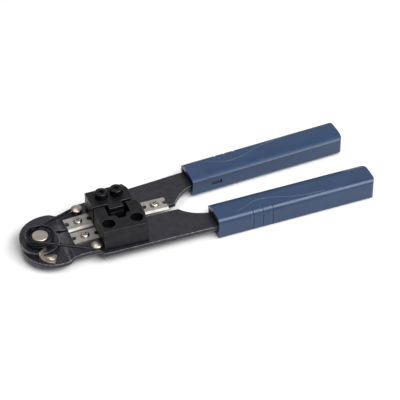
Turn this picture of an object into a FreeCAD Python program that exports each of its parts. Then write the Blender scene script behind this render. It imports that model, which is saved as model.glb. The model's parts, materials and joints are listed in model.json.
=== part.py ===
import FreeCAD, Part

import math
import os

import Sketcher

# Pliers-style crimping tool for eight-contact modular plugs, lying flat, in millimetres.
# Two joggled steel levers turn on a rivet at the round head. The front lever (towards -Y) is
# fixed and the rear lever (towards +Y) turns about +Z. Every piece is drawn in the frame of
# the lever that carries it, where the pivot is the origin, +X runs along the handle and
# "out" is the distance from the X axis to that lever's own side. A body's Placement then
# turns it with its lever and moves the pivot to its place in the whole tool.

os.makedirs("parts", exist_ok=True)
doc = FreeCAD.newDocument("crimping_tool")
Vector = FreeCAD.Vector

SIZES = {
    # whole tool
    "pivot_place": -88.06,       # X of the pivot, so that the tool is centred on the origin
    "half_opening": 1.37,        # each lever's turn from the X axis, degrees
    # lever plates
    "plate": 2.5,
    "front_head_low": 3.95,
    "front_shank_low": 5.2,
    "rear_head_low": 6.55,
    "rear_shank_low": 5.3,
    "head_radius": 17.2,
    "rim_radius": 10.4,
    "waist_radius": 32,
    "neck_radius": 23,
    "pivot_hole": 3.05,
    "waist_start": 13.0,
    "waist_out": 17.7,
    "shoulder_start": 28.0,
    "shoulder_end": 29.2,
    "shoulder_out": 21.2,
    "grip_start": 93.5,
    "tang_end": 177,
    "tang_out": 22.9,
    "tang_in": 10.3,
    "lug_length": 4.0,
    "lug_reach": 1.4,
    "running_gap": 0.05,
    # pivot
    "rivet_radius": 3.0,
    "rivet_head": 4.5,
    "rivet_head_low": 12.5,
    "rivet_head_high": 13.2,
    "hub_radius": 6.0,
    "hub_flange": 7.3,
    "hub_low": 9.1,
    "hub_flange_high": 11.1,
    "washer_radius": 5.5,
    "washer_low": 2.75,
    "tail_radius": 4.4,
    "tail_low": 0.0,
    "tail_chamfer": 1.2,
    # torsion spring
    "wire": 1.7,
    "coil_radius": 7.1,
    "coil_pitch": 1.8,
    "coil_low": 12.2,
    "leg_low": 9.05,
    # spring posts
    "post_x": 26.7,
    "post_out": 15.3,
    "post_shank": 1.3,
    "post_dome": 3.1,
    "post_dome_low": 10.3,
    "post_dome_high": 11.6,
    # lock latch
    "latch_x": 1.9,
    "latch_out": 13.3,
    "latch_low": 6.5,
    "latch_plate": 1.2,
    "latch_tab_high": 11.4,
    "latch_clear": 10.75,
    # crimping blocks
    "block_x": 42.9,
    "block_high": 21.0,
    "punch_high": 21.3,
    "nest_out": -0.675,
    "nest_tilt": -1.13,
    "punch_out": -0.29,
    "punch_tilt": -2.48,
    "nest_width": 12.3,
    "nest_depth": 8.6,
    "tongue_width": 7.9,
    "tongue_reach": 4.3,
    "nest_screw": 7.85,
    "nest_screw_shift": 0.2,
    "nest_screw_depth": 14.2,
    "punch_screw": 4.3,
    "punch_screw_shift": 0.4,
    "punch_screw_depth": 7.2,
    "cap_radius": 3.5,
    "cap_height": 4.0,
    "nest_sink": 4.5,
    "punch_sink": 0.6,
    "recess_depth": 11.9,
    "block_screw_radius": 2.0,
    "socket": 3.0,
    # contact comb and strain punch
    "contact_pitch": 1.02,
    "tooth": 0.5,
    "tooth_reach": 0.45,
    "comb_low": 9.6,
    "comb_high": 13.2,
    "strain_low": 15.2,
    "strain_high": 18.4,
    # blades
    "blade": 1.25,
    "stripper_length": 14.6,
    "stripper_width": 8.8,
    "cutter_length": 13.6,
    "cutter_width": 8.4,
    "bevel": 1.0,
    "blade_notch": 1.45,
    "notch_depth": 1.1,
    "blade_screw_radius": 1.5,
    "blade_screw_head": 2.55,
    "blade_screw_high": 1.35,
    # grips
    "grip_end": 186.9,
    "grip_in": 8.2,
    "grip_out": 24.95,
    "grip_height": 13.0,
    "grip_wall_height": 8.8,
    "crown_width": 6.8,
    "grip_round": 3.6,
    "grip_foot": 1.8,
    "grip_skin": 1.7,
    "mouth_depth": 9.0,
    "slot_gap": 0.1,
    "groove_first": 113.4,
    "groove_width": 1.2,
    "groove_depth": 0.5,
    "groove_pitch": 5.8,
    "window_x": 108.3,
    "window_length": 6.0,
    "window_height": 2.6,
}

sheet = doc.addObject("Spreadsheet::Sheet", "dim")
for row, (alias, value) in enumerate(SIZES.items(), 1):
    sheet.set("A%d" % row, alias)
    sheet.set("B%d" % row, str(value))
    sheet.setAlias("B%d" % row, alias)
doc.recompute()


def number(expression):
    """The value of an expression in the sheet's aliases."""
    return float(sheet.evalExpression(str(expression)))


def size(alias):
    return number("dim." + alias)


# ---------------------------------------------------------------- sketches and features

SIDE = {"front": -1, "rear": 1}


def plane(body, role):
    return next(item for item in body.Origin.OriginFeatures if item.Role == role)


def new_body(name):
    body = doc.addObject("PartDesign::Body", name)
    body.Label = name
    return body


def new_sketch(body, name, height="0", role="XY_Plane"):
    """A sketch on one of the body's own origin planes, raised by an expression."""
    sketch = body.newObject("Sketcher::SketchObject", body.Name + "_" + name)
    sketch.AttachmentSupport = [(plane(body, role), "")]
    sketch.MapMode = "FlatFace"
    sketch.setExpression("AttachmentOffset.Base.z", str(height))
    return sketch


def bind(sketch, constraint, name, expression):
    """Add a constraint, name it and bind its value to the sheet."""
    index = sketch.addConstraint(constraint)
    sketch.renameConstraint(index, name)
    sketch.setExpression("Constraints." + name, expression)


def pin_point(sketch, item, end, name, x, y):
    """Hold one end of a sketch item at the place given by two expressions."""
    bind(sketch, Sketcher.Constraint("DistanceX", -1, 1, item, end, number(x)), name + "_x", x)
    bind(sketch, Sketcher.Constraint("DistanceY", -1, 1, item, end, number(y)), name + "_y", y)


def cap_radius(half, rise):
    """Radius of the arc that falls by the rise over the half width from its top."""
    return "(((%s) ^ 2 + (%s) ^ 2) / (2 * (%s)))" % (half, rise, rise)


def arc_between(start, end, radius):
    """The shorter arc from start to end; a negative radius turns clockwise."""
    chord = end - start
    rise = math.sqrt(max(radius * radius - chord.Length ** 2 / 4, 0))
    normal = Vector(-chord.y, chord.x, 0).normalize()
    centre = (start + end) / 2 + normal * math.copysign(rise, radius)
    first, last = (start, end) if radius > 0 else (end, start)
    angles = [math.atan2(p.y - centre.y, p.x - centre.x) for p in (first, last)]
    circle = Part.Circle(centre, Vector(0, 0, 1), abs(radius))
    return Part.ArcOfCircle(circle, angles[0], angles[1])


def outline(sketch, corners, tag="edge"):
    """A closed outline. Each corner is (x, y) or (x, y, radius), where the radius bends the
    run to the next corner: positive turns left, negative turns right."""
    corners = [tuple(str(value) for value in corner) for corner in corners]
    points = [Vector(number(corner[0]), number(corner[1]), 0) for corner in corners]
    ends = []
    for index, corner in enumerate(corners):
        start, end = points[index], points[(index + 1) % len(points)]
        if len(corner) == 3:
            bend = number(corner[2])
            item = sketch.addGeometry(arc_between(start, end, bend), False)
            ends.append((item, 1, 2) if bend > 0 else (item, 2, 1))
        else:
            item = sketch.addGeometry(Part.LineSegment(start, end), False)
            ends.append((item, 1, 2))
    for index, corner in enumerate(corners):
        item, first, last = ends[index]
        following = ends[(index + 1) % len(ends)]
        sketch.addConstraint(Sketcher.Constraint("Coincident", item, last, following[0], following[1]))
        pin_point(sketch, item, first, "%s%d" % (tag, index), corner[0], corner[1])
        if len(corner) == 3:
            bind(sketch, Sketcher.Constraint("Radius", item, abs(number(corner[2]))),
                 "%s%d_bend" % (tag, index), "abs(%s)" % corner[2])


def circle(sketch, x, y, radius, tag="hole"):
    """A circle whose centre and radius are expressions."""
    x, y, radius = str(x), str(y), str(radius)
    centre = Vector(number(x), number(y), 0)
    item = sketch.addGeometry(Part.Circle(centre, Vector(0, 0, 1), number(radius)), False)
    pin_point(sketch, item, 3, tag, x, y)
    bind(sketch, Sketcher.Constraint("Radius", item, number(radius)), tag + "_radius", radius)


def box_outline(sketch, x_low, x_high, y_low, y_high, tag="box"):
    outline(sketch, [(x_low, y_low), (x_high, y_low), (x_high, y_high), (x_low, y_high)], tag)


def pad(body, sketch, length):
    feature = body.newObject("PartDesign::Pad", sketch.Name + "_pad")
    feature.Profile = sketch
    feature.setExpression("Length", str(length))
    doc.recompute()
    return feature


def pocket(body, sketch, length=None, upwards=False):
    """Cut a sketch downwards or upwards by an expression, or both ways through everything."""
    before = body.Shape.Volume
    feature = body.newObject("PartDesign::Pocket", sketch.Name + "_cut")
    feature.Profile = sketch
    if length is None:
        feature.Type = "ThroughAll"
        feature.SideType = "Symmetric"
    else:
        feature.setExpression("Length", str(length))
        feature.Reversed = upwards
    doc.recompute()
    if body.Shape.Volume > before - 1e-4:
        raise RuntimeError(sketch.Name + " cuts nothing")
    return feature


def edges_at(shape, wanted):
    """Names of the edges whose middle point passes the test."""
    names = []
    for index, edge in enumerate(shape.Edges, 1):
        middle = edge.valueAt((edge.FirstParameter + edge.LastParameter) / 2)
        if wanted(edge, middle):
            names.append("Edge%d" % index)
    return names


def upright(edge):
    """True for a straight edge along Z."""
    if edge.Curve.TypeId != "Part::GeomLine":
        return False
    return abs(abs(edge.tangentAt(edge.FirstParameter).z) - 1) < 1e-6


def fillet(body, base, radius, wanted, kind="Fillet"):
    """Round or chamfer the chosen edges of a feature."""
    names = edges_at(base.Shape, wanted)
    if not names:
        raise RuntimeError(body.Name + " has no such edge")
    feature = body.newObject("PartDesign::" + kind, base.Name + "_" + kind.lower())
    feature.Base = (base, names)
    feature.setExpression("Radius" if kind == "Fillet" else "Size", str(radius))
    doc.recompute()
    return feature


def round_corners(body, base, radius, places, reach=0.6):
    """Round the upright edges nearest to the given (x, y) expressions."""
    spots = [Vector(number(x), number(y), 0) for x, y in places]

    def wanted(edge, middle):
        flat = Vector(middle.x, middle.y, 0)
        return upright(edge) and any(flat.distanceToPoint(spot) < reach for spot in spots)

    return fillet(body, base, radius, wanted)


def turned(body, name, corners):
    """A solid turned about Z from an outline of (radius, height) corners."""
    sketch = new_sketch(body, name, role="XZ_Plane")
    outline(sketch, corners)
    feature = body.newObject("PartDesign::Revolution", sketch.Name + "_turned")
    feature.Profile = sketch
    feature.ReferenceAxis = (sketch, ["V_Axis"])
    feature.Angle = 360
    doc.recompute()
    return feature


# ---------------------------------------------------------------- places

def lever_place(side):
    """Placement of a lever's frame in the whole tool at rest."""
    turn = SIDE[side] * size("half_opening")
    return FreeCAD.Placement(Vector(size("pivot_place"), 0, 0), FreeCAD.Rotation(Vector(0, 0, 1), turn))


def on_lever(side, x="0", out="0", tilt="0"):
    """Placement of a piece at (x, out) on a lever, turned by tilt degrees."""
    spot = Vector(number(x), SIDE[side] * number(out), 0)
    return lever_place(side) * FreeCAD.Placement(spot, FreeCAD.Rotation(Vector(0, 0, 1), number(tilt)))


# the two crimping blocks, each in a frame of its own: origin in the middle of its front face
BLOCKS = {"front": ("dim.nest_out", "dim.nest_tilt"), "rear": ("dim.punch_out", "dim.punch_tilt")}


def on_block(side, u="0", deep="0"):
    """Placement of a piece at u along the block's face and deep behind it."""
    out, tilt = BLOCKS[side]
    spot = Vector(number(u), SIDE[side] * number(deep), 0)
    return on_lever(side, "dim.block_x", out, tilt) * FreeCAD.Placement(spot, FreeCAD.Rotation())


def block_sketch(body, side, name, height="0"):
    """A sketch on a lever in the frame of its crimping block."""
    out, tilt = BLOCKS[side]
    sketch = new_sketch(body, name, height)
    sketch.setExpression("AttachmentOffset.Base.x", "dim.block_x")
    sketch.setExpression("AttachmentOffset.Base.y", "%d * %s" % (SIDE[side], out))
    sketch.setExpression("AttachmentOffset.Rotation.Angle", tilt)
    return sketch


# screw places: (u, depth) in the frame of the block
BLOCK_SCREWS = {
    "front": [("-dim.nest_screw - dim.nest_screw_shift", "dim.nest_screw_depth"),
              ("dim.nest_screw - dim.nest_screw_shift", "dim.nest_screw_depth")],
    "rear": [("-dim.punch_screw - dim.punch_screw_shift", "dim.punch_screw_depth"),
             ("dim.punch_screw - dim.punch_screw_shift", "dim.punch_screw_depth")],
}


# ---------------------------------------------------------------- levers

# where each lever's inner edge steps out beside the pivot, and its line along the shank
INNER_EDGE = {
    "front": {"step": "-3.5", "near": "0.4", "cutter": "0.4", "tab_x": "78.5", "tab": "1.2"},
    "rear": {"step": "4.4", "near": "0.6", "cutter": "0.6", "tab_x": "78.9", "tab": "0.05"},
}
# the joggle between head and shank, as X from the pivot
JOGGLE = {"front": ("10.7", "13.4"), "rear": ("11.9", "14.9")}
# places of the blades: (x, out, tilt) of the blade's middle and the blade's own length and width
BLADES = {
    "front_stripper": ("front", "23.75", "4.45", "0", "dim.stripper_length", "dim.stripper_width"),
    "rear_stripper": ("rear", "24.1", "6.6", "0", "dim.stripper_length", "dim.stripper_width"),
    "cutter": ("rear", "67.4", "2.25", "-4.4", "dim.cutter_length", "dim.cutter_width"),
}


def make_lever(side):
    """One steel plate: round joggled head, straight shank and the tang inside the grip."""
    body = new_body(side + "_lever")
    sign = SIDE[side]
    head_low, shank_low = "dim.%s_head_low" % side, "dim.%s_shank_low" % side
    inner = INNER_EDGE[side]
    rim = "dim.rim_radius"
    convex = "%d * " % -sign

    def out(expression):
        return "%d * (%s)" % (sign, expression)

    low = "min(%s; %s)" % (head_low, shank_low)
    high = "max(%s; %s) + dim.plate" % (head_low, shank_low)
    sketch = new_sketch(body, "plan", low)
    outline(sketch, [
        ("-" + rim, "0", convex + "dim.head_radius"),
        ("dim.waist_start", out("dim.waist_out"), "-" + convex + "dim.waist_radius"),
        ("dim.shoulder_start", out("dim.waist_out - 0.1")),
        ("dim.shoulder_end", out("dim.shoulder_out")),
        ("dim.grip_start - 1.5", out("dim.tang_out")),
        ("dim.tang_end", out("dim.tang_out")),
        ("dim.tang_end", out("dim.tang_in")),
        ("dim.grip_start + 1", out("dim.tang_in"), "-" + convex + "dim.neck_radius"),
        (inner["tab_x"], out(inner["tab"])),
        ("57", out(inner["cutter"])),
        ("17.5", out(inner["near"])),
        ("16.2", out(inner["step"])),
        ("sqrt(%s ^ 2 - (%s) ^ 2)" % (rim, inner["step"]), out(inner["step"]), convex + rim),
        ("0", out("-" + rim), convex + rim),
    ])
    blank = pad(body, sketch, "%s - %s" % (high, low))
    round_corners(body, blank, 1.3, [("dim.shoulder_end", out("dim.shoulder_out")),
                                     ("dim.shoulder_start", out("dim.waist_out - 0.1"))])

    joggle(body, side, head_low, shank_low)

    holes = new_sketch(body, "holes")
    circle(holes, "0", "0", "dim.pivot_hole", "pivot")
    circle(holes, "dim.post_x", out("dim.post_out"), "dim.post_shank + dim.running_gap", "post")
    if side == "front":
        circle(holes, "dim.latch_x", out("dim.latch_out"), "dim.post_shank + dim.running_gap", "latch")
    pocket(body, holes)
    for name, (blade_side, x, blade_out, tilt, length, width) in BLADES.items():
        if blade_side == side:
            seat = new_sketch(body, name + "_hole")
            circle(seat, x, out(blade_out), "dim.blade_screw_radius + dim.running_gap")
            pocket(body, seat)
    seats = block_sketch(body, side, "block_holes")
    for index, (u, deep) in enumerate(BLOCK_SCREWS[side]):
        circle(seats, u, out(deep), "dim.block_screw_radius + dim.running_gap", "screw%d" % index)
    pocket(body, seats)

    lug = new_sketch(body, "lug", "%s + 0.2" % shank_low)
    box_outline(lug, "dim.window_x - dim.lug_length / 2", "dim.window_x + dim.lug_length / 2",
                out("dim.tang_in + 0.5"), out("dim.tang_in - dim.lug_reach"))
    pad(body, lug, "dim.plate - 0.4")
    body.Placement = lever_place(side)


def joggle(body, side, head_low, shank_low):
    """Cut the side view, so that the head and the shank lie half a plate apart."""
    start, end = JOGGLE[side]
    head_x, shank_x = "-dim.head_radius", "dim.tang_end + 2"
    head_high, shank_high = head_low + " + dim.plate", shank_low + " + dim.plate"
    view = new_sketch(body, "joggle", role="XZ_Plane")
    if side == "front":
        outline(view, [(head_x, head_high), (start, head_high), (end, shank_high),
                       (end, shank_high + " + 2"), (head_x, shank_high + " + 2")], "over")
        outline(view, [(start, head_low), (end, shank_low), (shank_x, shank_low),
                       (shank_x, head_low + " - 2"), (start, head_low + " - 2")], "under")
    else:
        outline(view, [(start, head_high), (end, shank_high), (shank_x, shank_high),
                       (shank_x, head_high + " + 2"), (start, head_high + " + 2")], "over")
        outline(view, [(head_x, head_low), (start, head_low), (end, shank_low),
                       (end, shank_low + " - 2"), (head_x, shank_low + " - 2")], "under")
    pocket(body, view)


# ---------------------------------------------------------------- pivot and spring

COIL_STEPS = 27
HOOK_STEPS = 10
HOOK_TURN = 190

def make_pivot():
    rivet = new_body("pivot_rivet")
    turned(rivet, "profile", [
        ("0", "dim.tail_low"), ("dim.tail_radius - dim.tail_chamfer", "dim.tail_low"),
        ("dim.tail_radius", "dim.tail_low + dim.tail_chamfer"),
        ("dim.tail_radius", "dim.washer_low"), ("dim.rivet_radius", "dim.washer_low"),
        ("dim.rivet_radius", "dim.rivet_head_low"), ("dim.rivet_head", "dim.rivet_head_low"),
        ("dim.rivet_head", "dim.rivet_head_high - 0.25"), ("dim.rivet_head - 0.35", "dim.rivet_head_high"),
        ("0", "dim.rivet_head_high"),
    ])
    hub = new_body("spring_hub")
    turned(hub, "profile", [
        ("dim.pivot_hole", "dim.hub_low"), ("dim.hub_flange", "dim.hub_low"),
        ("dim.hub_flange", "dim.hub_flange_high - 0.4"), ("dim.hub_flange - 0.4", "dim.hub_flange_high"),
        ("dim.hub_radius", "dim.hub_flange_high"), ("dim.hub_radius", "dim.rivet_head_low - 0.3"),
        ("dim.hub_radius - 0.3", "dim.rivet_head_low"), ("dim.pivot_hole", "dim.rivet_head_low"),
    ])
    washer = new_body("tail_washer")
    turned(washer, "profile", [
        ("dim.pivot_hole", "dim.washer_low"), ("dim.washer_radius", "dim.washer_low"),
        ("dim.washer_radius", "dim.front_head_low"), ("dim.pivot_hole", "dim.front_head_low"),
    ])
    for body in (rivet, hub, washer):
        body.Placement = lever_place("front")


def post_spot(side):
    """A spring post's place at rest, measured from the pivot."""
    place = on_lever(side, "dim.post_x", "dim.post_out")
    return place.Base - Vector(size("pivot_place"), 0, 0)


def make_spring():
    """Torsion spring: a coil round the hub, and two legs hooked round the spring posts."""
    wire, coil, pitch = size("wire"), size("coil_radius"), size("coil_pitch")
    bend = size("post_shank") + wire / 2 + 0.12
    post = post_spot("rear")
    reach = math.asin((coil - bend) / post.Length)
    leaving = math.atan2(post.y, post.x) - reach + math.pi / 2
    turn = 2 * (2 * math.pi - leaving)
    rise = pitch * turn / (2 * math.pi)

    def around(centre, radius, angle, height):
        return centre + Vector(radius * math.cos(angle), radius * math.sin(angle), height)

    def hook(sign):
        """Points round a post, from the leg's end."""
        spot = Vector(post.x, sign * post.y, size("leg_low"))
        step = math.radians(HOOK_TURN) / HOOK_STEPS
        return [around(spot, bend, sign * (leaving - step * index), 0) for index in range(HOOK_STEPS + 1)]

    low = size("coil_low")
    winding = [around(Vector(), coil, leaving + turn * step / COIL_STEPS, low + rise * step / COIL_STEPS)
               for step in range(COIL_STEPS + 1)]
    path = hook(1)[::-1] + winding + hook(-1)
    rings = []
    for index, point in enumerate(path):
        ahead = path[min(index + 1, len(path) - 1)] - path[max(index - 1, 0)]
        side = Vector(0, 0, 1).cross(ahead).normalize()
        turned_ring = FreeCAD.Rotation(side, ahead.cross(side), ahead, "ZXY")
        ring = Part.Wire(Part.Circle(Vector(), Vector(0, 0, 1), wire / 2).toShape())
        ring.Placement = FreeCAD.Placement(point, turned_ring)
        rings.append(ring)
    spring = doc.addObject("Part::Feature", "torsion_spring")
    spring.Label = "torsion_spring"
    spring.Shape = Part.makeLoft(rings, True, True)
    spring.Placement = FreeCAD.Placement(Vector(size("pivot_place"), 0, 0), FreeCAD.Rotation())


def make_post(side):
    """Domed rivet that holds one end of the spring."""
    body = new_body(side + "_spring_post")
    low = "dim.%s_shank_low" % side
    turned(body, "profile", [
        ("0", low), ("dim.post_shank", low), ("dim.post_shank", "dim.post_dome_low"),
        ("dim.post_dome", "dim.post_dome_low"),
        ("dim.post_dome", "dim.post_dome_low + 0.3",
         cap_radius("dim.post_dome", "dim.post_dome_high - dim.post_dome_low - 0.3")),
        ("0", "dim.post_dome_high"),
    ])
    body.Placement = on_lever(side, "dim.post_x", "dim.post_out")


# ---------------------------------------------------------------- lock latch

def make_latch():
    """Bent sheet that turns on its own rivet and locks the closed handles."""
    latch = new_body("lock_latch")
    plan = new_sketch(latch, "plan", "dim.latch_low")
    outline(plan, [
        ("-6.1", "2.2"), ("-4.6", "-0.9"), ("-2.4", "-2.9"), ("0.7", "-4.5"), ("1.9", "-2.2"),
        ("3.2", "0.6"), ("2.2", "1.9"), ("0", "2.7"), ("-1.4", "5.4"),
    ])
    plate = pad(latch, plan, "dim.latch_plate")
    fillet(latch, plate, 0.7, lambda edge, middle: upright(edge) and middle.y < 2)
    tab = new_sketch(latch, "tab", "dim.latch_low")
    outline(tab, [("-6.1", "2.2"), ("-5.45", "1.3"), ("-1.0", "4.6"), ("-1.65", "5.5")])
    pad(latch, tab, "dim.latch_tab_high - dim.latch_low")
    rim = new_sketch(latch, "rim", "dim.rear_head_low + dim.plate + 0.3")
    circle(rim, "-dim.latch_x", "dim.latch_out", "dim.latch_clear")
    pocket(latch, rim, "4")
    eye = new_sketch(latch, "eye")
    circle(eye, "0", "0", "dim.post_shank + dim.running_gap")
    pocket(latch, eye)
    latch.Placement = on_lever("front", "dim.latch_x", "dim.latch_out")

    rivet = new_body("latch_rivet")
    turned(rivet, "profile", [
        ("0", "dim.front_head_low"), ("dim.post_shank", "dim.front_head_low"),
        ("dim.post_shank", "dim.latch_low + dim.latch_plate + 0.05"),
        ("2.4", "dim.latch_low + dim.latch_plate + 0.05"),
        ("2.4", "dim.latch_low + dim.latch_plate + 0.3", cap_radius("2.4", "0.65")),
        ("0", "dim.latch_low + dim.latch_plate + 0.95"),
    ])
    rivet.Placement = on_lever("front", "dim.latch_x", "dim.latch_out")


# ---------------------------------------------------------------- crimping blocks

def make_nest():
    """Block on the front lever, with the open nest that holds the plug."""
    body = new_body("nest_block")
    low = "dim.front_shank_low + dim.plate"
    half, deep = "dim.nest_width / 2", "-dim.nest_depth"
    plan = new_sketch(body, "plan", low)
    outline(plan, [
        ("-12.4", "-20.0"), ("12.4", "-20.6"), ("12.4", "0"), (half, "0"), (half, deep),
        ("3.8", deep), ("3.8", deep + " - 1.2"), ("2.9", deep + " - 1.2"), ("2.9", deep + " - 3.2"),
        ("-1.9", deep + " - 3.2"), ("-1.9", deep + " - 1.2"), ("-2.8", deep + " - 1.2"), ("-2.8", deep),
        ("-(%s)" % half, deep), ("-(%s)" % half, "0"), ("-12.4", "0"),
    ])
    blank = pad(body, plan, "dim.block_high - (%s)" % low)
    round_corners(body, blank, 2.4, [("-12.4", "0"), ("12.4", "0")])
    for index, (u, back) in enumerate(BLOCK_SCREWS["front"]):
        counterbored(body, "bore%d" % index, u, "-(%s)" % back, "dim.block_high",
                     "dim.cap_height + dim.nest_sink")
    blade_recess(body, low, "-dim.recess_depth", "1")
    body.Placement = on_block("front")


def counterbored(body, name, u, v, top, depth):
    """A clearance hole with a counterbore for a socket head."""
    bore = new_sketch(body, name)
    circle(bore, u, v, "dim.block_screw_radius + dim.running_gap")
    pocket(body, bore)
    seat = new_sketch(body, name + "_seat", top)
    circle(seat, u, v, "dim.cap_radius + 0.15")
    pocket(body, seat, depth)


def blade_recess(body, low, v_low, v_high):
    """Relief under a block's near corner for the end of the stripper blade beside it."""
    recess = new_sketch(body, "recess", low)
    box_outline(recess, "-13", "-10.9", v_low, v_high)
    pocket(body, recess, "dim.blade + 0.1", upwards=True)


def make_punch():
    """Block on the rear lever, with the tongue that carries the comb and the strain punch."""
    body = new_body("punch_block")
    low = "dim.rear_shank_low + dim.plate"
    half = "dim.tongue_width / 2"
    tip = "-dim.tongue_reach"
    plan = new_sketch(body, "plan", low)
    outline(plan, [
        ("-12.2", "0"), ("-(%s)" % half, "0"), ("-(%s)" % half, tip), (half, tip), (half, "0"),
        ("9.9", "0"), ("11.0", "1.4"), ("11.0", "9.4"), ("9.2", "13.3"), ("-12.2", "13.3"),
    ])
    pad(body, plan, "dim.punch_high - (%s)" % low)
    for index, (u, back) in enumerate(BLOCK_SCREWS["rear"]):
        counterbored(body, "bore%d" % index, u, back, "dim.punch_high", "dim.punch_sink")
    blade_recess(body, low, "-1", "dim.recess_depth")
    for name, slot_low, slot_high in (("comb_slot", "dim.comb_low", "dim.comb_high"),
                                      ("strain_slot", "dim.strain_low", "dim.strain_high")):
        slot = new_sketch(body, name, slot_low)
        box_outline(slot, "-(%s) - 0.5" % half, half + " + 0.5", tip + " - 0.5", tip + " + 2.6")
        pocket(body, slot, "%s - %s" % (slot_high, slot_low), upwards=True)
    body.Placement = on_block("rear")


def make_comb():
    """Eight teeth on one back, which drive the plug's contacts home."""
    body = new_body("contact_comb")
    half = "dim.tongue_width / 2"
    tip = "-dim.tongue_reach"
    back = new_sketch(body, "back", "dim.comb_low + 0.02")
    box_outline(back, "-(%s)" % half, half, tip + " + 0.3", tip + " + 2.55")
    pad(body, back, "dim.comb_high - dim.comb_low - 0.04")
    tooth = new_sketch(body, "tooth", "dim.comb_low + 0.02")
    first = "-3.5 * dim.contact_pitch"
    box_outline(tooth, first + " - dim.tooth / 2", first + " + dim.tooth / 2",
                tip + " - dim.tooth_reach", tip + " + 0.4")
    first_tooth = pad(body, tooth, "dim.comb_high - dim.comb_low - 0.04")
    row = body.newObject("PartDesign::LinearPattern", "teeth")
    row.Originals = [first_tooth]
    row.Direction = (tooth, ["H_Axis"])
    row.Occurrences = 8
    row.setExpression("Length", "7 * dim.contact_pitch")
    body.Tip = row
    doc.recompute()
    body.Placement = on_block("rear")


def make_strain_punch():
    """Blunt bar that presses the plug's strain relief onto the cable."""
    body = new_body("strain_punch")
    half = "dim.tongue_width / 2"
    plan = new_sketch(body, "plan", "dim.strain_low + 0.02")
    outline(plan, [
        ("-(%s)" % half, "-dim.tongue_reach + 2.55"), ("-(%s)" % half, "-dim.tongue_reach + 0.1"),
        ("-(%s) + 0.6" % half, "-dim.tongue_reach - 0.4"), (half + " - 0.6", "-dim.tongue_reach - 0.4"),
        (half, "-dim.tongue_reach + 0.1"), (half, "-dim.tongue_reach + 2.55"),
    ])
    pad(body, plan, "dim.strain_high - dim.strain_low - 0.04")
    body.Placement = on_block("rear")


def make_block_screw(name, side, index, head_low):
    """Socket-head cap screw: shank through block and plate, hexagonal socket on top."""
    body = new_body(name)
    shank, head = "dim.block_screw_radius", "dim.cap_radius"
    low = "dim.%s_shank_low" % side
    high = "(%s) + dim.cap_height" % head_low
    turned(body, "profile", [
        ("0", low), (shank, low), (shank, head_low), (head, head_low), (head, high + " - 0.3"),
        (head + " - 0.3", high), ("0", high),
    ])
    socket = new_sketch(body, "socket", high)
    corner = "dim.socket / sqrt(3)"
    outline(socket, [("%s * cos(%d)" % (corner, 60 * turn), "%s * sin(%d)" % (corner, 60 * turn))
                     for turn in range(6)])
    pocket(body, socket, "2.2")
    u, deep = BLOCK_SCREWS[side][index]
    body.Placement = on_block(side, u, deep)


# ---------------------------------------------------------------- blades

def make_blade(name, side, x, out, tilt, length, width):
    """Rectangular blade: ground edge towards the other lever and a notch in each short end."""
    body = new_body(name + "_blade")
    low = "dim.%s_shank_low + dim.plate" % side
    away = SIDE[side]
    half = "%s / 2" % width
    notch, end = "dim.blade_notch", "%s / 2" % length
    round_notch = "-1.05 * dim.blade_notch"

    def inside(hand):
        """Where a short end's notch turns round, at the right end or the left one."""
        return "%s(%s - dim.notch_depth)" % (hand, end)

    plan = new_sketch(body, "plan", low)
    shape = [
        ("-(%s)" % end, "-(%s) - dim.bevel" % half), (end, "-(%s) - dim.bevel" % half),
        (end, "-" + notch), (inside(""), "-" + notch, round_notch), (inside(""), notch),
        (end, notch), (end, half), ("-(%s)" % end, half), ("-(%s)" % end, notch),
        (inside("-"), notch, round_notch), (inside("-"), "-" + notch), ("-(%s)" % end, "-" + notch),
    ]
    if away < 0:
        shape = [(corner[0], "-(%s)" % corner[1]) + tuple("-(%s)" % bend for bend in corner[2:])
                 for corner in shape]
    outline(plan, shape)
    pad(body, plan, "dim.blade")
    grind = new_sketch(body, "grind", role="YZ_Plane")
    edge, slope = "%d * (%s + dim.bevel)" % (-away, half), "%d * (%s)" % (-away, half)
    outline(grind, [(edge, low + " + 0.15"), (slope, low + " + dim.blade"),
                    (slope, low + " + dim.blade + 1"), (edge + " - %d" % away, low + " + dim.blade + 1"),
                    (edge + " - %d" % away, low + " + 0.15")])
    pocket(body, grind)
    hole = new_sketch(body, "hole")
    circle(hole, "0", "0", "dim.blade_screw_radius + dim.running_gap")
    pocket(body, hole)
    body.Placement = on_lever(side, x, out, tilt)


def make_blade_screw(name, side, x, out):
    """Pan-head screw with a cross recess."""
    body = new_body(name + "_screw")
    low = "dim.%s_shank_low" % side
    seat = low + " + dim.plate + dim.blade"
    high = seat + " + dim.blade_screw_high"
    shank, head = "dim.blade_screw_radius", "dim.blade_screw_head"
    turned(body, "profile", [
        ("0", low), (shank, low), (shank, seat), (head, seat), (head, seat + " + 0.5", "1.6"),
        (head + " - 0.9", high), ("0", high),
    ])
    cross = new_sketch(body, "cross", high)
    arm, half = "1.5", "0.3"
    outline(cross, [
        (arm, "-" + half), (arm, half), (half, half), (half, arm), ("-" + half, arm), ("-" + half, half),
        ("-" + arm, half), ("-" + arm, "-" + half), ("-" + half, "-" + half), ("-" + half, "-" + arm),
        (half, "-" + arm), (half, "-" + half),
    ])
    pocket(body, cross, "0.8")
    body.Placement = on_lever(side, x, out, "35")


# ---------------------------------------------------------------- grips

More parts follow.
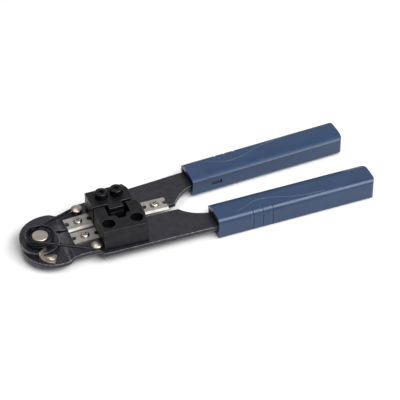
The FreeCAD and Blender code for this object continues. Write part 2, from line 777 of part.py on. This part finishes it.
def make_grip(side):
    """Moulded sleeve: flat inner wall, crowned top and bottom, rounded outer side, hollow mouth."""
    body = new_body(side + "_grip")
    sign = SIDE[side]
    middle = "dim.grip_height / 2"
    inner, outer = "dim.grip_in", "dim.grip_out"
    wall, round_off = "dim.grip_wall_height / 2", "dim.grip_round"
    crown = cap_radius("dim.crown_width", "%s - %s" % (middle, wall))
    length = "dim.grip_end - dim.grip_start"

    def out(expression):
        return "%d * (%s)" % (sign, expression)

    def bend(radius):
        return "%d * %s" % (sign, radius)

    section = new_sketch(body, "section", "dim.grip_start", role="YZ_Plane")
    outline(section, [
        (out(inner), "%s - %s" % (middle, wall), bend(crown)), (out(inner + " + dim.crown_width"), "0"),
        (out("%s - dim.grip_foot" % outer), "0", bend("dim.grip_foot")), (out(outer), "dim.grip_foot"),
        (out(outer), "dim.grip_height - " + round_off, bend(round_off)),
        (out("%s - %s" % (outer, round_off)), "dim.grip_height"),
        (out(inner + " + dim.crown_width"), "dim.grip_height", bend(crown)),
        (out(inner), "%s + %s" % (middle, wall)),
    ])
    pad(body, section, length)

    cap = new_sketch(body, "end_cut", "-1")
    far = "dim.grip_end"
    outline(cap, [
        (far + " - 2.8", out(outer + " + 1")), (far + " - 2.8", out(outer), bend("-3.0")),
        (far + " - 0.2", out(outer + " - 2.4"), bend("-60")),
        (far + " - 0.2", out(inner + " + 1.8"), bend("-2.2")),
        (far + " - 2.0", out(inner)), (far + " - 2.0", out(inner + " - 1")),
        (far + " + 1", out(inner + " - 1")), (far + " + 1", out(outer + " + 1")),
    ])
    pocket(body, cap, "dim.grip_height + 2", upwards=True)

    low = "dim.%s_shank_low" % side
    cavity = new_sketch(body, "tang_slot", low + " - dim.slot_gap")
    box_outline(cavity, "dim.grip_start - 1", "dim.tang_end + 0.3",
                out("dim.tang_in - dim.slot_gap"), out("dim.tang_out + dim.slot_gap"))
    pocket(body, cavity, "dim.plate + 2 * dim.slot_gap", upwards=True)

    mouth = new_sketch(body, "mouth", "dim.grip_start", role="YZ_Plane")
    box_outline(mouth, out(inner + " + dim.grip_skin"), out(outer + " - dim.grip_skin"),
                "dim.grip_skin + 1.0", "dim.grip_height - dim.grip_skin - 1.0")
    pocket(body, mouth, "dim.mouth_depth", upwards=True)

    window = new_sketch(body, "window", "%d * (%s - 1)" % (-sign, inner), role="XZ_Plane")
    box_outline(window, "dim.window_x - dim.window_length / 2", "dim.window_x + dim.window_length / 2",
                "%s - dim.window_height / 2" % middle, "%s + dim.window_height / 2" % middle)
    pocket(body, window, "dim.tang_in - %s + 1.1" % inner, upwards=(side == "front"))

    for index in range(3):
        groove(body, side, index)
    body.Placement = lever_place(side)


def groove(body, side, index):
    """A shallow finger groove down the outer side of a grip and over its top rounding."""
    sign = SIDE[side]
    start = "dim.groove_first + %d * dim.groove_pitch - dim.groove_width / 2" % index
    cut = new_sketch(body, "groove%d" % index, start, role="YZ_Plane")
    wall = "dim.grip_out - dim.groove_depth"
    bend = "dim.grip_round - dim.groove_depth"
    outline(cut, [
        ("%d * (%s)" % (sign, wall), "-1"), ("%d * (%s)" % (sign, wall), "dim.grip_height - dim.grip_round",
                                             "%d * (%s)" % (sign, bend)),
        ("%d * (%s - (%s))" % (sign, wall, bend), "dim.grip_height - dim.groove_depth"),
        ("%d * (%s - (%s))" % (sign, wall, bend), "dim.grip_height + 1"),
        ("%d * (dim.grip_out + 1)" % sign, "dim.grip_height + 1"), ("%d * (dim.grip_out + 1)" % sign, "-1"),
    ])
    pocket(body, cut, "dim.groove_width", upwards=True)


# ---------------------------------------------------------------- the whole tool

for lever_side in SIDE:
    make_lever(lever_side)
    make_post(lever_side)
    make_grip(lever_side)
make_pivot()
make_spring()
make_latch()
make_nest()
make_punch()
make_comb()
make_strain_punch()
for number_of_screw, hand in enumerate(("left", "right")):
    make_block_screw("nest_screw_" + hand, "front", number_of_screw,
                     "dim.block_high - dim.cap_height - dim.nest_sink")
    make_block_screw("punch_screw_" + hand, "rear", number_of_screw, "dim.punch_high - dim.punch_sink")
for blade_name, (blade_side, x, out, tilt, length, width) in BLADES.items():
    make_blade(blade_name, blade_side, x, out, tilt, length, width)
    make_blade_screw(blade_name, blade_side, x, out)
doc.recompute()


# ---------------------------------------------------------------- check and export

pieces = [item for item in doc.Objects if item.TypeId in ("PartDesign::Body", "Part::Feature")]
broken = [item.Name for item in doc.Objects if "Invalid" in item.State or "Error" in item.State]
if broken:
    raise RuntimeError("failed objects: " + ", ".join(broken))
for piece in pieces:
    if piece.Shape.isNull() or not piece.Shape.isValid():
        raise RuntimeError(piece.Label + " has a bad shape")
for piece in pieces:
    piece.Shape.exportStep(os.path.join("parts", piece.Label + ".step"))
    box = piece.Shape.BoundBox
    print("%-22s solids %d  volume %9.1f  x %7.2f..%7.2f  y %7.2f..%7.2f  z %6.2f..%6.2f" % (
        piece.Label, len(piece.Shape.Solids), piece.Shape.Volume,
        box.XMin, box.XMax, box.YMin, box.YMax, box.ZMin, box.ZMax))
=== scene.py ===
import json
import math

import bmesh
import bpy
from mathutils import Matrix, Vector

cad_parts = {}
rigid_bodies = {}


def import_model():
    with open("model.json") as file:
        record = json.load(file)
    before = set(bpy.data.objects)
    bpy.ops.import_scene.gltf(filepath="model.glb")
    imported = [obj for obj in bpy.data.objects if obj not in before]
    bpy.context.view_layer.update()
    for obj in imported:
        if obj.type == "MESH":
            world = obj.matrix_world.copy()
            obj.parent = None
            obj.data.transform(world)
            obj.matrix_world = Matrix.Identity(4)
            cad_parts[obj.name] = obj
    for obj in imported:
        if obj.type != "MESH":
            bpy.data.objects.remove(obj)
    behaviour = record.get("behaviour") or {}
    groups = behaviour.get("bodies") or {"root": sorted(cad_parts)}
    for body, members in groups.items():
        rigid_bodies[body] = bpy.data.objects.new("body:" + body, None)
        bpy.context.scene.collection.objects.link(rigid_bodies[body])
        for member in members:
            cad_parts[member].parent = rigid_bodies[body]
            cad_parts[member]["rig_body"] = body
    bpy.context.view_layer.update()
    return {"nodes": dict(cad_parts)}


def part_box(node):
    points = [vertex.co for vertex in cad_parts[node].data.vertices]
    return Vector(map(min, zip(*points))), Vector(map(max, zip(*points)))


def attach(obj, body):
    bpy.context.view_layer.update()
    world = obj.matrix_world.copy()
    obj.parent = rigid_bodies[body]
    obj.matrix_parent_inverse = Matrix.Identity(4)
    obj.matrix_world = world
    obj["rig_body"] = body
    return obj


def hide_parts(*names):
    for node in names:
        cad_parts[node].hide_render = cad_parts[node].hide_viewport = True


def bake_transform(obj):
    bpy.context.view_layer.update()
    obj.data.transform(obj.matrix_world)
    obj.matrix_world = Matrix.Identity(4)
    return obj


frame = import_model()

# The looks of a modular plug crimping tool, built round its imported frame. Lengths are in
# metres unless a comment says otherwise, in the frame's axes: +X towards the ends of the
# grips, +Y towards the rear lever.

MM = 0.001
scene = bpy.context.scene

# ---------------------------------------------------------------- places from the frame


def centre_of(node):
    """The middle of a node's box at rest."""
    low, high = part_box(node)
    return (low + high) / 2


PIVOT = centre_of("pivot_rivet")
# each lever's own axis stands this far from the middle line at rest
HALF_OPENING = math.radians(1.37)
SIDES = {"front": -1, "rear": 1}
GRIP_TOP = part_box("rear_grip")[1].z


def on_lever(side, x, out, z):
    """A point given in millimetres from the pivot along and across a lever, in the frame."""
    turn = SIDES[side] * HALF_OPENING
    across = SIDES[side] * out
    return Vector((PIVOT.x + MM * (x * math.cos(turn) - across * math.sin(turn)),
                   PIVOT.y + MM * (x * math.sin(turn) + across * math.cos(turn)), MM * z))


# ---------------------------------------------------------------- material helpers

class Material:
    """A node material with short ways to add the nodes that every finish here uses."""

    def __init__(self, name, metallic, roughness, **sockets):
        self.data = bpy.data.materials.new(name)
        self.data.use_nodes = True
        self.nodes, self.links = self.data.node_tree.nodes, self.data.node_tree.links
        self.shader = self.nodes["Principled BSDF"]
        self.shader.inputs["Metallic"].default_value = metallic
        self.shader.inputs["Roughness"].default_value = roughness
        for socket, value in sockets.items():
            self.shader.inputs[socket.replace("_", " ")].default_value = value
        self.place = self.nodes.new("ShaderNodeTexCoord").outputs["Object"]

    def link(self, source, target):
        self.links.new(source, target)

    def noise(self, size, detail=3.0, stretch=(1, 1, 1), rough=0.5):
        """Noise whose grains are about this size in metres, stretched along each axis."""
        mapping = self.nodes.new("ShaderNodeMapping")
        self.link(self.place, mapping.inputs["Vector"])
        mapping.inputs["Scale"].default_value = [1 / value for value in stretch]
        texture = self.nodes.new("ShaderNodeTexNoise")
        texture.inputs["Scale"].default_value = 1 / size
        texture.inputs["Detail"].default_value = detail
        texture.inputs["Roughness"].default_value = rough
        self.link(mapping.outputs["Vector"], texture.inputs["Vector"])
        return texture.outputs["Fac"]

    def spread(self, value, low, high, start=0.3, end=0.7):
        """A value between start and end becomes a value between low and high."""
        node = self.nodes.new("ShaderNodeMapRange")
        node.inputs["From Min"].default_value, node.inputs["From Max"].default_value = start, end
        node.inputs["To Min"].default_value, node.inputs["To Max"].default_value = low, high
        self.link(value, node.inputs["Value"])
        return node.outputs["Result"]

    def blend(self, factor, first, second):
        """A colour between two colours, each a colour or a socket."""
        node = self.nodes.new("ShaderNodeMix")
        node.data_type = "RGBA"
        self.link(factor, node.inputs["Factor"])
        for socket, value in ((node.inputs[6], first), (node.inputs[7], second)):
            if isinstance(value, tuple):
                socket.default_value = (*value, 1)
            else:
                self.link(value, socket)
        return node.outputs[2]

    def edges(self, radius, start=0.995, end=0.90):
        """1 on an edge's rounding and 0 on a flat, from how far a rounded normal turns away."""
        bevel = self.nodes.new("ShaderNodeBevel")
        bevel.samples = 6
        bevel.inputs["Radius"].default_value = radius
        geometry = self.nodes.new("ShaderNodeNewGeometry")
        dot = self.nodes.new("ShaderNodeVectorMath")
        dot.operation = "DOT_PRODUCT"
        self.link(bevel.outputs["Normal"], dot.inputs[0])
        self.link(geometry.outputs["True Normal"], dot.inputs[1])
        return self.spread(dot.outputs["Value"], 0, 1, start, end)

    def times(self, first, second):
        """The product of two sockets."""
        node = self.nodes.new("ShaderNodeMath")
        node.operation = "MULTIPLY"
        self.link(first, node.inputs[0])
        self.link(second, node.inputs[1])
        return node.outputs["Value"]

    def colour(self, socket):
        self.link(socket, self.shader.inputs["Base Color"])

    def roughness(self, socket):
        self.link(socket, self.shader.inputs["Roughness"])

    def bump(self, height, distance, strength=1.0):
        node = self.nodes.new("ShaderNodeBump")
        node.inputs["Distance"].default_value = distance
        node.inputs["Strength"].default_value = strength
        self.link(height, node.inputs["Height"])
        self.link(node.outputs["Normal"], self.shader.inputs["Normal"])


def black_oxide(name, dark, light, worn_and_highlight, rough_low, rough_high, highlight_and_wear_radius):
    """Black oxide on steel: mottled grey-black, with paler edges over this radius that are partly bare
    metal from wear and partly a painted highlight.
    """
    finish = Material(name, 0.75, rough_low, Specular_IOR_Level=0.5)
    mottle = finish.noise(0.004, 5.0, rough=0.6)
    body = finish.blend(finish.spread(mottle, 0, 1), dark, light)
    patches = finish.spread(finish.noise(0.0016, 4.0), 0.25, 1.0, 0.35, 0.6)
    edge_wear_and_highlight = finish.times(finish.edges(highlight_and_wear_radius), patches)
    # the paler colour on the edges is partly worn bare metal and partly a painted highlight along the
    # edges
    finish.colour(finish.blend(edge_wear_and_highlight, body, worn_and_highlight))
    finish.roughness(finish.spread(finish.noise(0.0025, 4.0), rough_low, rough_high))
    finish.bump(finish.noise(0.00035, 3.0), 0.00003, 0.5)
    return finish.data


def plated(name, dark, light, rough_low, rough_high, grain=(1, 1, 1)):
    """Plated or ground bright steel with fine grain and slight staining."""
    finish = Material(name, 1.0, rough_low)
    finish.colour(finish.blend(finish.spread(finish.noise(0.003, 4.0), 0, 1), dark, light))
    finish.roughness(finish.spread(finish.noise(0.0012, 3.0, grain), rough_low, rough_high))
    finish.bump(finish.noise(0.0006, 2.0, grain), 0.00001, 0.2)
    return finish.data


def moulded(name, deep, mid, edge_highlight):
    """Plastic with a fine grain and a slight gloss, with a paler painted highlight on its edges."""
    finish = Material(name, 0.0, 0.42, Specular_IOR_Level=0.3, Coat_Weight=0.3, Coat_Roughness=0.22)
    cloud = finish.blend(finish.spread(finish.noise(0.012, 4.0), 0, 1), deep, mid)
    # painted highlight: the rounding of every edge is blended towards the paler colour
    finish.colour(finish.blend(finish.spread(finish.edges(0.0008), 0, 0.35, 0, 1), cloud, edge_highlight))
    finish.roughness(finish.spread(finish.noise(0.006, 5.0), 0.33, 0.44))
    finish.bump(finish.noise(0.0003, 3.0, rough=0.6), 0.00003, 0.5)
    return finish.data


FINISHES = {
    "lever_steel": black_oxide("lever_steel", (0.031, 0.030, 0.038), (0.047, 0.046, 0.056),
                               (0.40, 0.40, 0.41), 0.34, 0.46, 0.0006),
    "block_steel": black_oxide("block_steel", (0.010, 0.009, 0.012), (0.020, 0.019, 0.023),
                               (0.13, 0.13, 0.14), 0.34, 0.46, 0.0003),
    "black_screw": black_oxide("black_screw", (0.008, 0.008, 0.010), (0.018, 0.018, 0.020),
                               (0.10, 0.10, 0.10), 0.22, 0.34, 0.00025),
    "spring_steel": black_oxide("spring_steel", (0.010, 0.010, 0.013), (0.020, 0.020, 0.024),
                                (0.06, 0.06, 0.065), 0.22, 0.34, 0.0002),
    "bright_rivet": plated("bright_rivet", (0.40, 0.355, 0.30), (0.50, 0.45, 0.39), 0.30, 0.40),
    "blade_steel": plated("blade_steel", (0.35, 0.34, 0.325), (0.45, 0.435, 0.415), 0.55, 0.66,
                          grain=(6, 1, 1)),
    "nickel_screw": plated("nickel_screw", (0.40, 0.37, 0.33), (0.56, 0.52, 0.46), 0.22, 0.34),
    "grip_plastic": moulded("grip_plastic", (0.012, 0.032, 0.081), (0.015, 0.039, 0.094),
                            (0.085, 0.145, 0.255)),
}

# ---------------------------------------------------------------- pieces from the frame's nodes

WELD = 0.002 * MM
FLAT_ANGLE = math.radians(0.6)
EDGE_ANGLE = math.radians(35)
EDGE_SEGMENTS = 2


def new_piece(name, mesh, body, slot, replaced=None):
    """A visible piece that moves with a body, in one of the finishes."""
    piece = bpy.data.objects.new(name, mesh)
    scene.collection.objects.link(piece)
    mesh.materials.clear()
    mesh.materials.append(FINISHES[slot])
    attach(piece, body)
    if replaced:
        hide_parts(replaced)
    return piece


def clean_mesh(node):
    """A node's mesh with its seams welded and its flat faces whole."""
    work = bmesh.new()
    work.from_mesh(frame["nodes"][node].data)
    bmesh.ops.remove_doubles(work, verts=work.verts, dist=WELD)
    bmesh.ops.dissolve_limit(work, angle_limit=FLAT_ANGLE, verts=work.verts, edges=work.edges,
                             delimit={"NORMAL"})
    work.verts.ensure_lookup_table()
    mesh = bpy.data.meshes.new(node + "_softened")
    mesh.from_pydata([v.co[:] for v in work.verts], [],
                     [[v.index for v in face.verts] for face in work.faces])
    work.free()
    mesh.polygons.foreach_set("use_smooth", [True] * len(mesh.polygons))
    return mesh


def soften(node, slot, width):
    """A piece with a node's shape and slightly rounded edges, standing for the node."""
    body = frame["nodes"][node]["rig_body"]
    piece = new_piece(node + "_softened", clean_mesh(node), body, slot, node)
    bevel = piece.modifiers.new("edges", "BEVEL")
    bevel.width = width
    bevel.segments = EDGE_SEGMENTS
    bevel.limit_method = "ANGLE"
    bevel.angle_limit = EDGE_ANGLE
    bevel.use_clamp_overlap = True
    bevel.harden_normals = True


# finish, width of the rounded edges in millimetres, nodes
SOFTENED = [
    ("lever_steel", 0.3, ["front_lever", "rear_lever"]),
    ("block_steel", 0.22, ["nest_block", "punch_block", "spring_hub", "tail_washer"]),
    ("block_steel", 0.06, ["contact_comb", "strain_punch"]),
    ("black_screw", 0.12, ["nest_screw_left", "nest_screw_right", "punch_screw_left",
                           "punch_screw_right"]),
    ("bright_rivet", 0.12, ["pivot_rivet", "front_spring_post", "rear_spring_post", "latch_rivet",
                            "lock_latch"]),
    ("blade_steel", 0.06, ["front_stripper_blade", "rear_stripper_blade", "cutter_blade"]),
    ("nickel_screw", 0.08, ["front_stripper_screw", "rear_stripper_screw", "cutter_screw"]),
    ("grip_plastic", 0.55, ["front_grip", "rear_grip"]),
]
for slot_name, edge_width, nodes in SOFTENED:
    for node_name in nodes:
        soften(node_name, slot_name, edge_width * MM)

# ---------------------------------------------------------------- torsion spring

WIRE = 1.7 * MM
COIL = 7.1 * MM
COIL_LOW = 12.2 * MM
COIL_PITCH = 1.8 * MM
LEG_LOW = 9.05 * MM
HOOK = 2.27 * MM
HOOK_TURN = math.radians(190)
HOOK_STEPS, LEG_STEPS, COIL_STEPS = 16, 14, 72
WIRE_SIDES = 20
EASING_PASSES = 8


def spring_path():
    """Points along the wire: hook, leg, coil, leg, hook, with the legs' ends eased in height."""
    post = centre_of("rear_spring_post") - PIVOT
    leaving = math.atan2(post.y, post.x) - math.asin((COIL - HOOK) / post.xy.length) + math.pi / 2
    turn = 2 * (2 * math.pi - leaving)
    rise = COIL_PITCH * turn / (2 * math.pi)

    def around(x, y, radius, angle, z):
        return Vector((PIVOT.x + x + radius * math.cos(angle), PIVOT.y + y + radius * math.sin(angle), z))

    def leg(sign, top):
        hook = [around(post.x, sign * post.y, HOOK, sign * (leaving - HOOK_TURN * k / HOOK_STEPS), LEG_LOW)
                for k in range(HOOK_STEPS + 1)]
        start = around(0, 0, COIL, sign * leaving, top)
        return [start.lerp(hook[0], k / LEG_STEPS) for k in range(1, LEG_STEPS)] + hook

    coil = [around(0, 0, COIL, leaving + turn * k / COIL_STEPS, COIL_LOW + rise * k / COIL_STEPS)
            for k in range(COIL_STEPS + 1)]
    path = leg(1, COIL_LOW)[::-1] + coil + leg(-1, COIL_LOW + rise)
    heights = [point.z for point in path]
    for _ in range(EASING_PASSES):
        eased = [(a + 2 * b + c) / 4 for a, b, c in zip(heights, heights[1:], heights[2:])]
        heights = [heights[0], *eased, heights[-1]]
    return [Vector((point.x, point.y, z)) for point, z in zip(path, heights)]


# how far each ring of a tube's rounded end stands out, and its width, in radii
CAP_RINGS = [(0.2, 0.85), (0.26, 0.5)]


def tube(name, path, radius, sides):
    """A mesh of a round tube along a path, with softly rounded ends."""
    rings = []
    for index, point in enumerate(path):
        ahead = (path[min(index + 1, len(path) - 1)] - path[max(index - 1, 0)]).normalized()
        rings.append((point, ahead, radius))
    for end, direction in ((0, -1), (-1, 1)):
        point, ahead, _ = rings[end]
        caps = [(point + ahead * direction * radius * reach, ahead, radius * width)
                for reach, width in CAP_RINGS]
        rings = caps[::-1] + rings if end == 0 else rings + caps
    vertices, faces = [], []
    for point, ahead, width in rings:
        across = Vector((0, 0, 1)).cross(ahead).normalized()
        above = ahead.cross(across)
        for k in range(sides):
            angle = 2 * math.pi * k / sides
            vertices.append(point + across * math.cos(angle) * width + above * math.sin(angle) * width)
    for ring in range(len(rings) - 1):
        for k in range(sides):
            a, b = ring * sides + k, ring * sides + (k + 1) % sides
            faces.append((a, b, b + sides, a + sides))
    faces.append(tuple(range(sides))[::-1])
    faces.append(tuple(range(len(vertices) - sides, len(vertices))))
    mesh = bpy.data.meshes.new(name)
    mesh.from_pydata([v[:] for v in vertices], [], faces)
    mesh.polygons.foreach_set("use_smooth", [True] * len(mesh.polygons))
    return mesh


def make_spring():
    """The wire, coiled round the pivot with a leg to each lever's post, standing for the rigid node."""
    name = "torsion_spring_wire"
    spring = bpy.data.objects.new(name, tube(name, spring_path(), WIRE / 2, WIRE_SIDES))
    scene.collection.objects.link(spring)
    spring.data.materials.append(FINISHES["spring_steel"])
    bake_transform(spring)
    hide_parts("torsion_spring")


make_spring()

# ---------------------------------------------------------------- relief on the grips

RELIEF = 0.45 * MM
RELIEF_SIDES = 16
RELIEF_STEPS = 60
# how far the ridge's top rises above the grip in the middle of the wave, in millimetres
RELIEF_RISE = 0.2
# the wave's turning points: distance along the handle and across it, in millimetres
WAVE = [(103.0, 21.6), (110.0, 19.0), (118.0, 15.8), (128.0, 16.8), (142.0, 21.0), (157.0, 22.0)]
# the grip's top is flat outwards from here and falls in an arc inwards, in millimetres
CROWN_MIDDLE, CROWN_RADIUS = 15.0, 12.06


def grip_surface(out):
    """Height of a grip's top at a distance across the lever, in millimetres."""
    fall = max(CROWN_MIDDLE - out, 0.0)
    return GRIP_TOP / MM - (CROWN_RADIUS - math.sqrt(CROWN_RADIUS ** 2 - fall ** 2))


def wave_point(share):
    """A point on the smooth curve through the wave's turning points, for a share from 0 to 1."""
    place = share * (len(WAVE) - 1)
    index = min(int(place), len(WAVE) - 2)
    t = place - index
    before, start = Vector(WAVE[max(index - 1, 0)]), Vector(WAVE[index])
    end, after = Vector(WAVE[index + 1]), Vector(WAVE[min(index + 2, len(WAVE) - 1)])
    leave, arrive = (end - before) / 2, (after - start) / 2
    return ((2 * t ** 3 - 3 * t ** 2 + 1) * start + (t ** 3 - 2 * t ** 2 + t) * leave
            + (3 * t ** 2 - 2 * t ** 3) * end + (t ** 3 - t ** 2) * arrive)


def make_relief(side):
    """A low moulded ridge in a wave along a grip's top, sinking into it at both ends."""
    path = []
    for k in range(RELIEF_STEPS + 1):
        share = k / RELIEF_STEPS
        x, out = wave_point(share)
        rise = RELIEF_RISE * math.sin(math.pi * share) ** 0.5
        path.append(on_lever(side, x, out, grip_surface(out) - RELIEF / MM + rise))
    name = side + "_grip_relief"
    new_piece(name, tube(name, path, RELIEF, RELIEF_SIDES), side, "grip_plastic")


for side in SIDES:
    make_relief(side)

# ---------------------------------------------------------------- floor, light and camera

FLOOR = 6.0


def make_floor():
    finish = Material("pale_floor", 0.0, 0.9)
    shade, pale = (0.76, 0.76, 0.76), (0.78, 0.78, 0.78)
    finish.colour(finish.blend(finish.spread(finish.noise(0.3), 0, 1), shade, pale))
    mesh = bpy.data.meshes.new("floor")
    half = FLOOR / 2
    corners = [(-half, -half, 0), (half, -half, 0), (half, half, 0), (-half, half, 0)]
    mesh.from_pydata(corners, [], [(0, 1, 2, 3)])
    mesh.materials.append(finish.data)
    floor = bpy.data.objects.new("floor", mesh)
    scene.collection.objects.link(floor)


def area_light(name, place, size, power):
    """A soft rectangular light that points at the middle of the tool."""
    data = bpy.data.lights.new(name, "AREA")
    data.shape = "RECTANGLE"
    data.size, data.size_y = size
    data.energy = power
    light = bpy.data.objects.new(name, data)
    light.location = place
    light.rotation_mode = "QUATERNION"
    light.rotation_quaternion = (-Vector(place)).to_track_quat("-Z", "Y")
    scene.collection.objects.link(light)


def make_light():
    world = bpy.data.worlds.new("studio")
    world.use_nodes = True
    background = world.node_tree.nodes["Background"]
    background.inputs["Color"].default_value = (1, 1, 1, 1)
    background.inputs["Strength"].default_value = 0.24
    scene.world = world
    area_light("softbox_above", (-0.25, 0.1, 1.2), (1.0, 0.8), 5)
    area_light("softbox_back", (0.38, 0.95, 0.85), (1.4, 0.9), 1.8)
    area_light("softbox_front", (0.36, -0.68, 0.96), (1.3, 0.70), 23)


CAMERA_TURN = math.radians(22.89)
CAMERA_RISE = math.radians(40.33)
CAMERA_ROLL = math.radians(-0.21)
CAMERA_DISTANCE = 1026.9 * MM
CAMERA_TARGET = Vector((PIVOT.x + 93.3 * MM, 0.9 * MM, 6 * MM))
LENS, SENSOR = 167.45, 36


def make_camera():
    turn, rise = CAMERA_TURN, CAMERA_RISE
    right = Vector((math.cos(turn), -math.sin(turn), 0))
    level = math.cos(rise)
    back = Vector((-math.sin(turn) * level, -math.cos(turn) * level, math.sin(rise)))
    up = back.cross(right)
    tilt = Matrix((right, up, back)).transposed() @ Matrix.Rotation(CAMERA_ROLL, 3, "Z")
    data = bpy.data.cameras.new("camera")
    data.lens = LENS
    data.sensor_width = SENSOR
    camera = bpy.data.objects.new("camera", data)
    camera.matrix_world = Matrix.Translation(CAMERA_TARGET + back * CAMERA_DISTANCE) @ tilt.to_4x4()
    scene.collection.objects.link(camera)
    scene.camera = camera


make_floor()
make_light()
make_camera()
scene.view_settings.view_transform = "Standard"
